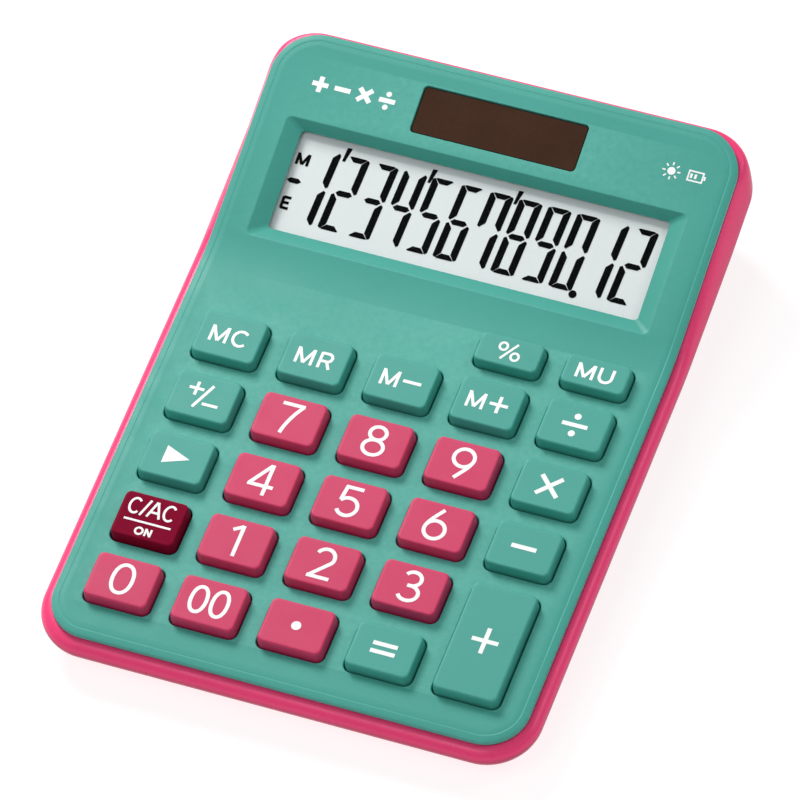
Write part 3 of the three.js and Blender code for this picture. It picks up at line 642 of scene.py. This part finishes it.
LETTERS = {                                      # on a square from -1 to 1
    "M": [[(-1, -1.1), (-1, 1.1)], [(1, -1.1), (1, 1.1)], [(-1, 1.05), (0, -0.95)], [(0, -0.95), (1, 1.05)]],
    "C": [sweep(0.05, 0, 1.05, 1, 44, 316, 24)],
    "R": [[(-1, -1.1), (-1, 1.1)], [(-1, 1.0), (0.2, 1.0)] + sweep(0.2, 0.46, 0.72, 0.54, 80, -80, 10) + [(0.2, -0.08), (-1, -0.08)], [(0.15, -0.05), (0.95, -1.1)]],
    "U": [[(-1, 1.1), (-1, -0.2)] + sweep(0, -0.2, 1, 0.8, 190, 350, 14) + [(1, -0.2), (1, 1.1)]],
    "A": [[(-1.05, -1.1), (-0.06, 1.1)], [(0.06, 1.1), (1.05, -1.1)], [(-0.7, -0.38), (0.7, -0.38)]],
    "O": [sweep(0, 0, 1, 1, 90, 450, 28)],
    "N": [[(-1, -1.15), (-1, 1.15)], [(1, -1.15), (1, 1.15)], [(-1, 1.05), (1, -1.05)]],
    "/": [[(-0.8, -1.15), (0.8, 1.15)]],
    "E": [[(-1, -1.1), (-1, 1.1)], [(-1, 1), (1, 1)], [(-1, -1), (1, -1)], [(-1, 0), (0.75, 0)]],
}


def letters(spec, place, t, **kw):
    """spec: (character, centre x, centre y, outer width, outer height)"""
    lines = []
    for ch, cx, cy, w, h in spec:
        a, b = (w - t) / 2, (h - t) / 2
        for l in LETTERS[ch]:
            lines.append([(cx + x * a, cy + y * b) for x, y in l])
    return ribbon("t", lines, t, place, **kw)


def merge(name, objs):
    bm = bmesh.new()
    for o in objs:
        bm.from_mesh(o.data)
        me = o.data
        bpy.data.objects.remove(o)
        bpy.data.meshes.remove(me)
    out = bpy.data.meshes.new(name)
    bm.to_mesh(out)
    bm.free()
    return new_object(name, out)


for name, c, y, hl in KEYS:
    x = (c - 2) * COL
    place = (lambda X, Y: (lambda px, py, pz: kpad(X + px, Y + py, KEY_H + pz + 0.004)))(x, y)
    parts = []
    ch = name[4:]
    if ch in DIGITS:
        parts.append(ribbon("t", DIGITS[ch], 0.80, place))
    elif ch == "00":
        for dx in (-2.25, 2.25):
            parts.append(ribbon("t", [sweep(dx, 0.12, 1.62, 2.95, 90, 450, 40, 0.92)], 0.80, place))
    elif ch == "point":
        parts.append(flat_polys("t", [circle(0, 0, 1.02, 32)], place))
    elif ch == "minus":
        parts.append(flat_polys("t", [bar(-2.65, 0, 2.65, 0, 0.98)], place))
    elif ch == "equals":
        parts.append(flat_polys("t", [bar(-2.6, 0.92, 2.6, 0.92, 0.92), bar(-2.6, -0.92, 2.6, -0.92, 0.92)], place))
    elif ch == "plus":
        parts.append(ribbon("t", [[(-2.8, 0), (2.8, 0)], [(0, -3.0), (0, 3.0)]], 0.92, place))
    elif ch == "divide":
        parts.append(flat_polys("t", [bar(-2.7, 0, 2.7, 0, 0.92), circle(0, 2.05, 0.72), circle(0, -2.05, 0.72)], place))
    elif ch == "multiply":
        parts.append(ribbon("t", [[(-2.25, -2.25), (2.25, 2.25)], [(-2.25, 2.25), (2.25, -2.25)]], 0.95, place))
    elif ch == "backspace":
        parts.append(flat_polys("t", [[(-2.6, -2.05), (2.85, 0.05), (-2.6, 2.15)]], place))
    elif ch == "sign":
        parts.append(ribbon("t", [[(-3.5, 1.5), (-0.3, 1.5)], [(-1.9, -0.1), (-1.9, 3.1)], [(-1.35, -2.9), (1.35, 2.9)], [(0.35, -1.7), (3.75, -1.7)]], 0.66, place))
    elif ch == "percent":
        parts.append(ribbon("t", [sweep(-1.5, 0.95, 0.82, 0.88, 90, 450, 24), sweep(1.5, -0.95, 0.82, 0.88, 90, 450, 24), [(-1.35, -2.05), (1.35, 2.05)]], 0.52, place))
    elif ch == "markup":
        parts.append(letters([("M", -2.2, 0, 3.9, 3.8), ("U", 2.15, 0, 3.3, 3.8)], place, 0.66))
    elif ch == "memory_clear":
        parts.append(letters([("M", -2.2, 0, 3.9, 4.1), ("C", 2.35, 0, 3.7, 4.15)], place, 0.64))
    elif ch == "memory_recall":
        parts.append(letters([("M", -2.15, 0, 3.9, 4.1), ("R", 2.35, 0, 3.1, 4.1)], place, 0.64))
    elif ch == "memory_minus":
        parts.append(letters([("M", -2.4, 0, 3.8, 4.1)], place, 0.64))
        parts.append(flat_polys("t", [bar(0.4, 0.1, 4.3, 0.1, 0.72)], place))
    elif ch == "memory_plus":
        parts.append(letters([("M", -2.5, 0, 3.8, 4.1)], place, 0.64))
        parts.append(ribbon("t", [[(0.4, 0.1), (4.3, 0.1)], [(2.35, -1.9), (2.35, 2.1)]], 0.72, place))
    elif ch == "clear_on":
        parts.append(letters([("C", -3.85, 2.0, 2.75, 3.95), ("/", -1.6, 2.0, 2.2, 3.9), ("A", 0.55, 2.0, 3.0, 3.9), ("C", 3.6, 2.0, 2.75, 3.95)], place, 0.50))
        parts.append(flat_polys("t", [bar(-5.05, -1.33, 5.05, -1.33, 0.46)], place))
        parts.append(letters([("O", -0.98, -3.45, 2.0, 1.95), ("N", 0.98, -3.45, 1.55, 1.95)], place, 0.44))
    o = merge("legend_" + ch, parts)
    finish_piece(o, "ink", None, name, ang=20, weighted=False)

# ------------------------------------------------------------- display module
def dflat(z0):
    return lambda x, v, z: bend(x, FOLD + v, z0 + z)


def lens_box(name, x0, x1, v0, v1, w0, w1, r, rr, node, mat, seg=6):
    lv = [(-rr, w0), (-rr * 0.3, w0 + rr * 0.3), (0, w0 + rr), (0, w1 - rr), (-rr * 0.3, w1 - rr * 0.3), (-rr, w1)]
    o = new_object(name, rings_mesh(name, rect_rings(x0, x1, FOLD + v0, FOLD + v1, r, lv, seg)))
    warp(o, bend)
    return finish_piece(o, mat, node, ang=30)


lens_box("window_clear", -42.3, 42.3, 5.9, 32.0, -3.05, -2.25, 0.8, 0.12, "lcd_window", "lens")
lens_box("panel_display", -41.6, 41.6, 5.9, 32.0, -4.75, -3.15, 0.3, 0.1, "lcd_panel", "panel")
lens_box("window_smoked", -17.8, 17.8, 35.05, 45.25, -1.35, -0.35, 0.7, 0.12, "solar_window", "smoke")
lens_box("cell_solar", -19, 19, 34.8, 45.6, -3.0, -1.9, 0.3, 0.1, "solar_cell", "solar")

# seven-segment figures; drawn as they appear in the opening and carried down to the panel
def dshift(x, v, z):
    return bend(x - 0.41, FOLD + v + 0.44, -3.13 + z)


SEG = {"0": "abcdef", "1": "bc", "2": "abged", "3": "abgcd", "4": "fgbc", "5": "afgcd", "6": "afgedc", "7": "fabc", "8": "abcdefg", "9": "abfgcd"}


def digit_polys(ch, cx, cy, w, h, t, slant):
    """Seven-segment figure: upright bars t wide with cut ends, level bars a little thinner."""
    hw, hh = w / 2, h / 2
    u = t * 0.78

    def vert(x, y0, y1, s):          # s: +1 outer side to the right
        a, b = x + s * t / 2, x - s * t / 2
        return [(a, y0 + 0.42), (a, y1 - 0.42), (a - s * t * 0.32, y1 - 0.10), (b + s * 0.02, y1 - 1.25), (b, y1 - 1.5), (b, y0 + 1.5),
                (b + s * 0.02, y0 + 1.25), (a - s * t * 0.32, y0 + 0.10)]
    P = []
    xl, xr = -hw + t / 2, hw - t / 2
    for s in SEG[ch]:
        if s in "ad":
            k = 1 if s == "a" else -1
            y = k * hh
            P.append([(-hw + 0.62, y - k * 0.18), (-hw + 0.95, y), (hw - 0.95, y), (hw - 0.62, y - k * 0.18), (hw - t - 0.18, y - k * u), (-hw + t + 0.18, y - k * u)])
        if s == "g":
            P.append([(-hw + 0.72, 0), (-hw + 1.35, u * 0.52), (hw - 1.35, u * 0.52), (hw - 0.72, 0), (hw - 1.35, -u * 0.52), (-hw + 1.35, -u * 0.52)])
        if s == "b":
            P.append(vert(xr, 0.18, hh, 1))
        if s == "c":
            P.append(vert(xr, -hh, -0.18, 1))
        if s == "f":
            P.append(vert(xl, 0.18, hh, -1))
        if s == "e":
            P.append(vert(xl, -hh, -0.18, -1))
    return [[(cx + x + y * slant, cy + y) for x, y in p] for p in P]


LCD_MID, PITCH, DW, DH, DT, SL = 18.8, 6.30, 5.05, 16.8, 1.5, 0.065
polys = []
for i, ch in enumerate("123456789012"):
    polys += digit_polys(ch, -33.5 + i * PITCH, LCD_MID, DW, DH, DT, SL)
polys.append(circle(25.7, 10.0, 0.85, 20))
for x in (-29.6, -10.85, 7.95):
    polys.append([(x - 0.05, 28.8), (x + 1.0, 28.8), (x + 0.25, 25.7), (x - 0.35, 25.7)])
polys.append([(-39.85, 19.05), (-39.1, 19.62), (-37.4, 19.62), (-36.7, 19.05), (-37.4, 18.5), (-39.1, 18.5)])
segs = flat_polys("segments", polys, dshift, 0.05)
ann = [letters([("M", -37.95, 24.0, 2.9, 3.0), ("E", -38.3, 14.0, 2.2, 3.0)], dshift, 0.62)]
o = merge("segments", [segs] + ann)
finish_piece(o, "seg", None, "case", ang=20, weighted=False)

# --------------------------------------------- printed marks, all of them generic
def printed(name, polys, extra=()):
    o = flat_polys("t", polys, dflat(0.012), 0.02)
    o = merge(name, [o] + list(extra))
    return finish_piece(o, "ink", None, "case", ang=20, weighted=False)


def sign_row(x, v, s, gap):
    P = []
    w = 0.30 * s
    P += [bar(x - s / 2, v, x - w / 2, v, w), bar(x + w / 2, v, x + s / 2, v, w), bar(x, v - s / 2, x, v + s / 2, w)]
    x += gap
    P += [bar(x - s / 2, v, x + s / 2, v, w)]
    x += gap
    q, g = s * 0.40, w / 2 * 0.7071
    P += [bar(x - q, v - q, x + q, v + q, w), bar(x - q, v + q, x - g, v + g, w), bar(x + g, v - g, x + q, v - q, w)]
    x += gap
    P += [bar(x - s / 2, v, x + s / 2, v, w), circle(x, v + 0.42 * s, 0.17 * s), circle(x, v - 0.42 * s, 0.17 * s)]
    return P


printed("marks_signs", sign_row(-39.3, 40.1, 3.5, 4.9))
# sun and cell outlines: the two power sources
icon = [circle(37.4, 40.2, 0.85, 24)]
for i in range(8):
    a = math.pi / 4 * i
    icon.append(bar(37.4 + 1.25 * math.cos(a), 40.2 + 1.25 * math.sin(a), 37.4 + 1.95 * math.cos(a), 40.2 + 1.95 * math.sin(a), 0.32))
icon += [bar(40.9, 41.25, 44.3, 41.25, 0.34), bar(40.9, 39.15, 44.3, 39.15, 0.34), bar(41.07, 39.32, 41.07, 41.08, 0.34), bar(44.13, 39.32, 44.13, 41.08, 0.34),
         bar(44.36, 40.2, 44.75, 40.2, 0.9), bar(41.7, 39.7, 41.7, 40.7, 0.5), bar(42.6, 39.7, 42.6, 40.7, 0.5)]
printed("marks_power", icon)

# --------------------------------------------------------- underside hardware
for nm, (x, y) in FEET.items():
    o = new_object("pad_" + nm[5:], rings_mesh("t", disc_rings(x, y, [(3.0, 0.14), (3.3, 0.12), (3.5, 0.0), (4.45, 0.0), (4.68, 0.06), (4.8, 0.22), (4.95, 1.5)], 72)))
    warp(o, lambda a, b, c: Vector((a, b, c)) * MM)
    finish_piece(o, "foot", nm, ang=50)

for i, (x, y) in enumerate(POSTS):
    o = new_object("fixing_%d" % (i + 1), rings_mesh("t", disc_rings(x, y, [(1.35, 2.22), (1.7, 2.32), (1.9, 2.5), (2.0, 2.75), (2.0, 3.7), (0.75, 3.7), (0.75, 9.0)], 40)))
    a = 0.4 + i * 0.9
    cut = []
    for k in range(2):
        b = a + k * math.pi / 2
        c, s = math.cos(b), math.sin(b)
        pts = [(-1.15, -0.26), (1.15, -0.26), (1.15, 0.26), (-1.15, 0.26)]
        R = [[(x + px * c - py * s, y + px * s + py * c, z) for px, py in pts] for z in (2.0, 2.95)]
        cut.append(rings_mesh("t", R))
    for cm in cut:
        boolean(o, new_object("cut", cm), "DIFFERENCE")
    warp(o, lambda a, b, c: Vector((a, b, c)) * MM)
    finish_piece(o, "steel", "case_screw_%d" % (i + 1), ang=35)

bx, by, bhx, bhy = BAT
o = new_object("door_battery", rings_mesh("t", rect_rings(bx - bhx + 0.3, bx + bhx - 0.3, by - bhy + 0.3, by + bhy - 0.3, 0.8,
    [(-0.3, 1.0), (-0.1, 1.06), (0, 1.2), (0, 2.2)], 8)))
cut = [rings_mesh("t", disc_rings(bx + bhx - 3.2, by, [(2.5, 0.5), (2.5, 1.0), (2.3, 1.1), (2.25, 1.6), (1.3, 1.62), (1.3, 3)], 40))]
for k in range(5):                               # grip ribs moulded in
    cut.append(rings_mesh("t", rect_rings(bx - bhx + 2.4 + k * 1.3, bx - bhx + 3.0 + k * 1.3, by - 4.5, by + 4.5, 0.28, [(0.1, 0.5), (0.1, 0.99), (0.0, 1.12), (-0.1, 1.25)], 5)))
boolean(o, joined("cut", cut), "DIFFERENCE")
warp(o, lambda a, b, c: Vector((a, b, c)) * MM)
edge_attribute(o, 0.3)
finish_piece(o, "case", "battery_cover", ang=35)
o = new_object("fixing_door", rings_mesh("t", disc_rings(bx + bhx - 3.2, by, [(1.5, 1.02), (1.8, 1.08), (1.9, 1.2), (1.9, 1.36), (0.8, 1.36), (0.8, 7)], 40)))
boolean(o, new_object("cut", rings_mesh("t", rect_rings(bx + bhx - 4.5, bx + bhx - 1.9, by - 0.25, by + 0.25, 0.05, [(0, 0.8), (0, 1.22)], 2))), "DIFFERENCE")
warp(o, lambda a, b, c: Vector((a, b, c)) * MM)
finish_piece(o, "steel", "battery_cover_screw", ang=35)

# ------------------------------------------------- carried-over inner CAD nodes
INNER = {"battery_cell": "nickel", "battery_contact_positive": "nickel", "battery_contact_negative": "nickel", "key_mat": "silicone",
         "circuit_board": "board", "chip_resin": "resin", "display_ribbon": "ribbon", "solar_wire_positive": "red",
         "solar_wire_negative": "black", "battery_wire_positive": "red", "battery_wire_negative": "black"}
for node, mat in INNER.items():
    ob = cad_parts[node]
    ob = ob if hasattr(ob, "material_slots") else bpy.data.objects[node]
    if not ob.material_slots:
        ob.data.materials.append(M[mat])
    for s in ob.material_slots:
        s.link = "OBJECT"
        s.material = M[mat]

# ----------------------------------------------------------- stage and lights
bm = bmesh.new()
R = 1.6
bmesh.ops.create_grid(bm, x_segments=8, y_segments=8, size=R)
me = bpy.data.meshes.new("floor")
bm.to_mesh(me)
bm.free()
floor = new_object("floor", me)
fm = material("floor_white", (0.28, 0.28, 0.28), var=0.004, rough=0.75, grain=3.0, bump=0.02, bump_scale=2.0)
pb = next(n for n in fm.node_tree.nodes if n.type == "BSDF_PRINCIPLED")
pb.inputs["Emission Color"].default_value = (1, 1, 1, 1)
pb.inputs["Emission Strength"].default_value = 0.82
pb.inputs["Specular IOR Level"].default_value = 0.1
me.materials.append(fm)

world = bpy.data.worlds.new("w")
scene.world = world
world.use_nodes = True
bg = world.node_tree.nodes["Background"]
bg.inputs[0].default_value = (1.0, 1.0, 1.0, 1)
bg.inputs[1].default_value = 0.34


def area(name, direction, dist, size, power, color=(1, 1, 1)):
    ld = bpy.data.lights.new(name, "AREA")
    ld.shape, ld.size, ld.energy, ld.color = "DISK", size, power, color
    o = bpy.data.objects.new(name, ld)
    scene.collection.objects.link(o)
    d = Vector(direction).normalized()
    o.location = d * dist
    o.rotation_euler = (-d).to_track_quat("-Z", "Y").to_euler()
    return o


area("key_light", (-0.72, 0.66, 0.86), 1.0, 0.42, 8.2, (1.0, 0.985, 0.965))
area("front_light", (-0.22, -0.50, 1.0), 1.1, 0.5, 2.1, (0.98, 0.99, 1.0))
area("side_light", (0.70, 0.45, 0.72), 1.1, 0.4, 1.4, (0.98, 0.99, 1.0))

# --------------------------------------------------------------------- camera
# pose fitted in the keypad frame: position in mm and a rotation vector
KM = Matrix.Translation((0, Y0, KEYPAD_Z)) @ Matrix.Rotation(ALPHA, 4, "X")
rv = Vector((2.5525830667644813, 0.41812618495557535, -0.26751969012333715))
from_fit = Matrix.Rotation(rv.length, 3, rv.normalized())      # keypad frame to camera (x right, y down, z ahead)
cam_axes = (KM.to_3x3() @ from_fit.transposed())               # columns: camera axes in the row frame
CAM_POS = KM @ -(from_fit.transposed() @ Vector((-10.119964832939894, 22.163, 1746.138)))
right, down, ahead = cam_axes.col[0], cam_axes.col[1], cam_axes.col[2]
rot = Matrix((right, -down, -ahead)).transposed()
cd = bpy.data.cameras.new("camera")
cam = bpy.data.objects.new("camera", cd)
scene.collection.objects.link(cam)
cam.matrix_world = Matrix.Translation(CAM_POS * MM) @ rot.to_4x4()
cd.sensor_width, cd.lens = 36.0, 36.0 * 8717.729 / 800.0
cd.clip_start, cd.clip_end = 0.1, 10.0
scene.camera = cam
scene.view_settings.view_transform = "Standard"
scene.view_settings.look = "None"
